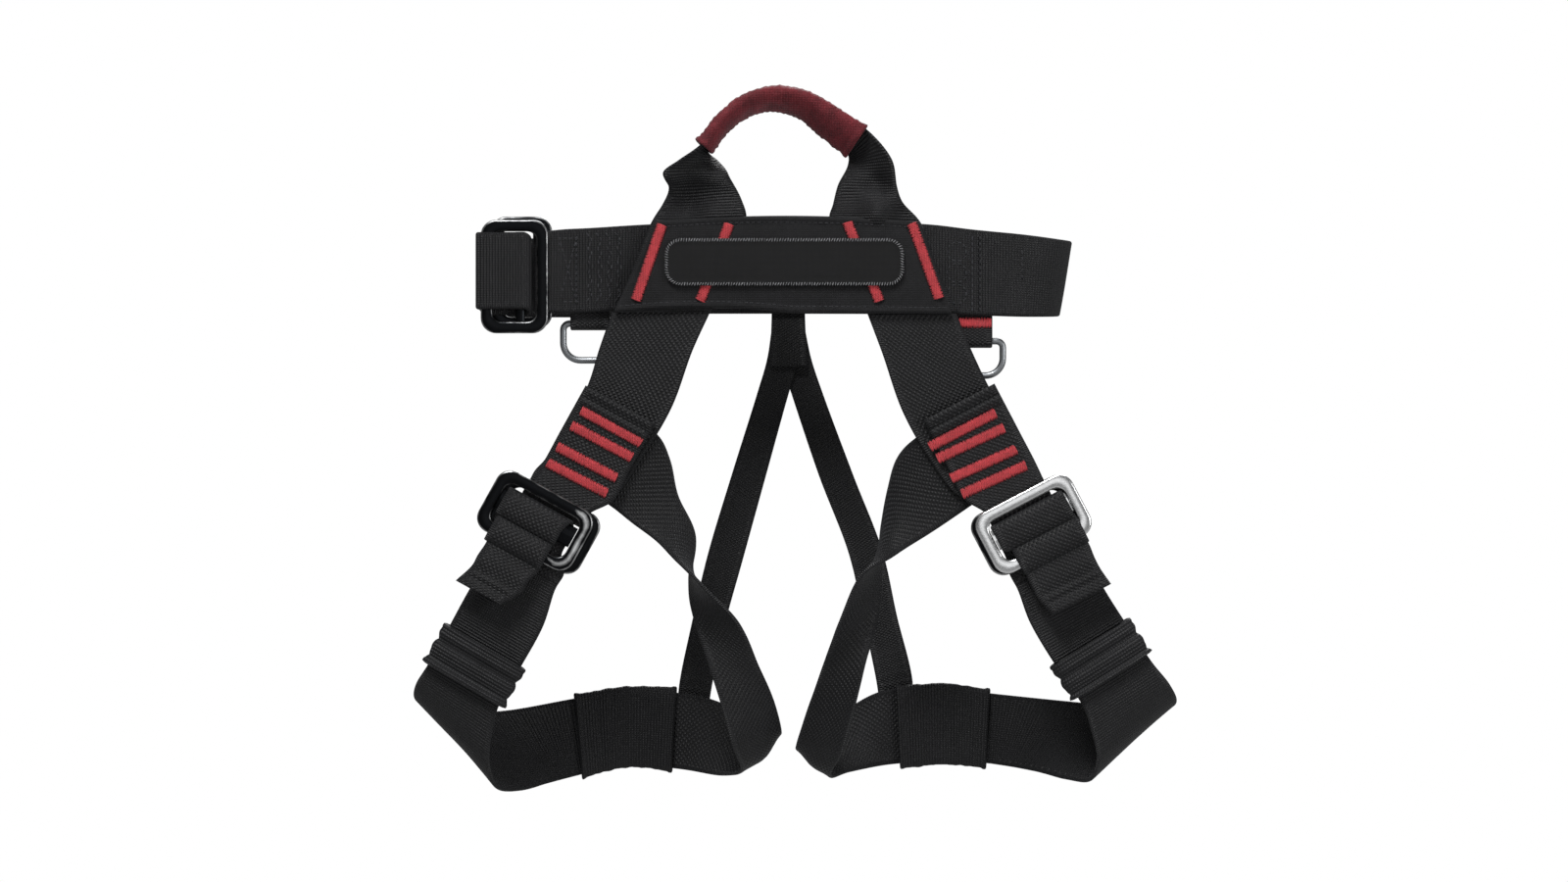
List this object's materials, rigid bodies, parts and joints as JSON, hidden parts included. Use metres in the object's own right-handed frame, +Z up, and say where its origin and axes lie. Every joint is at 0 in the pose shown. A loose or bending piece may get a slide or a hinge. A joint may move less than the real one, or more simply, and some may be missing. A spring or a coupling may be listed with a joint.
{
  "type": "tree climbing saddle",
  "caption": "Half-body climbing harness of flat webbing, hung by its sleeved tie-in loop, with a buckled waist belt, two buckled leg loops, gear rings and rear straps.",
  "frame": {"origin": "the hang point, under the top of the sleeved tie-in loop", "axes": "+X to the right as seen from the front, +Y to the back, +Z up, as the saddle hangs from its loop"},
  "size_m": [0.4003, 0.0718, 0.371],
  "materials": {
    "black_webbing": "woven polyester webbing, 44 mm wide, matt black",
    "narrow_webbing": "woven webbing, 20 mm wide, matt dark grey",
    "cover_cloth": "plain woven cover cloth, matt black",
    "label_cloth": "smooth blank label cloth, black",
    "red_thread": "bar tacks of red bonded thread",
    "red_sleeve": "burgundy woven wear sleeve",
    "elastic_band": "ribbed elastic, matt black",
    "bright_steel": "plated pressed steel",
    "black_steel": "black plated pressed steel with worn bright edges",
    "ring_steel": "grey welded steel wire"
  },
  "bodies": {
    "belt": {"waist_belt": "black_webbing", "waist_buckle_frame": "black_steel", "waist_tail": "black_webbing", "front_panel": "cover_cloth", "panel_tack_left_outer": "red_thread", "panel_tack_left_inner": "red_thread", "panel_tack_right_inner": "red_thread", "panel_tack_right_outer": "red_thread", "label_patch": "label_cloth", "tie_in_web": "black_webbing", "loop_sleeve": "red_sleeve", "left_ring_tab": "narrow_webbing", "right_ring_tab": "narrow_webbing", "right_tab_tack": "red_thread", "rear_strap_trunk": "narrow_webbing"},
    "waist_plate": {"waist_buckle_plate": "black_steel", "waist_buckle_bar": "black_steel", "waist_adjuster_web": "black_webbing"},
    "left_leg": {"left_upper_leg_strap": "black_webbing", "left_leg_tack_1": "red_thread", "left_leg_tack_2": "red_thread", "left_leg_tack_3": "red_thread", "left_leg_tack_4": "red_thread", "left_inner_leg_strap": "black_webbing", "left_lower_leg_strap": "black_webbing", "left_thigh_sleeve": "cover_cloth", "left_rear_strap": "narrow_webbing", "left_leg_buckle_frame": "black_steel"},
    "left_plate": {"left_leg_buckle_plate": "black_steel", "left_leg_buckle_bar": "black_steel", "left_leg_adjuster_web": "black_webbing"},
    "left_tail": {"left_leg_strap_tail": "black_webbing"},
    "left_keeper": {"left_keeper": "elastic_band"},
    "left_ring": {"left_gear_ring": "ring_steel"},
    "right_leg": {"right_upper_leg_strap": "black_webbing", "right_leg_tack_1": "red_thread", "right_leg_tack_2": "red_thread", "right_leg_tack_3": "red_thread", "right_leg_tack_4": "red_thread", "right_inner_leg_strap": "black_webbing", "right_lower_leg_strap": "black_webbing", "right_thigh_sleeve": "cover_cloth", "right_rear_strap": "narrow_webbing", "right_leg_buckle_frame": "black_steel"},
    "right_plate": {"right_leg_buckle_plate": "bright_steel", "right_leg_buckle_bar": "bright_steel", "right_leg_adjuster_web": "black_webbing"},
    "right_tail": {"right_leg_strap_tail": "black_webbing"},
    "right_keeper": {"right_keeper": "elastic_band"},
    "right_ring": {"right_gear_ring": "ring_steel"}
  },
  "joints": [
    {"name": "waist_plate_lift", "type": "hinge", "parent": "belt", "child": "waist_plate", "pos_m": [-0.1257, -0.0021, -0.085], "axis": [0, 0, 1], "range_deg": [0, 20]},
    {"name": "left_leg_swing", "type": "hinge", "parent": "belt", "child": "left_leg", "pos_m": [-0.0675, 0, -0.106], "axis": [1, 0, 0], "range_deg": [-30, 8], "stiffness_Nm_per_rad": 0.6, "springref_deg": 0.22},
    {"name": "left_plate_lift", "type": "hinge", "parent": "left_leg", "child": "left_plate", "pos_m": [-0.12112, -0.0049, -0.19889], "axis": [-0.8746, 0, 0.4848], "range_deg": [0, 30]},
    {"name": "left_tail_lift", "type": "hinge", "parent": "left_plate", "child": "left_tail", "pos_m": [-0.14051, -0.0096, -0.23388], "axis": [-0.8746, 0, 0.4848], "range_deg": [0, 60]},
    {"name": "left_keeper_slide", "type": "slide", "parent": "left_leg", "child": "left_keeper", "axis": [0.4914, -0.0804, 0.8672], "range_m": [-0.003, 0.015]},
    {"name": "left_ring_swing", "type": "hinge", "parent": "belt", "child": "left_ring", "pos_m": [-0.1036, 0.008, -0.1102], "axis": [1, 0, 0], "range_deg": [-5, 75]},
    {"name": "right_leg_swing", "type": "hinge", "parent": "belt", "child": "right_leg", "pos_m": [0.0635, 0, -0.106], "axis": [1, 0, 0], "range_deg": [-30, 8], "stiffness_Nm_per_rad": 0.6, "springref_deg": 0.19},
    {"name": "right_plate_lift", "type": "hinge", "parent": "right_leg", "child": "right_plate", "pos_m": [0.11839, -0.0049, -0.19909], "axis": [-0.8862, 0, -0.4633], "range_deg": [0, 30]},
    {"name": "right_tail_lift", "type": "hinge", "parent": "right_plate", "child": "right_tail", "pos_m": [0.13692, -0.0096, -0.23454], "axis": [-0.8862, 0, -0.4633], "range_deg": [0, 60]},
    {"name": "right_keeper_slide", "type": "slide", "parent": "right_leg", "child": "right_keeper", "axis": [-0.5472, -0.0806, 0.8331], "range_m": [-0.003, 0.015]},
    {"name": "right_ring_swing", "type": "hinge", "parent": "belt", "child": "right_ring", "pos_m": [0.0966, 0.008, -0.1194], "axis": [1, 0, 0], "range_deg": [-5, 75]}
  ]
}
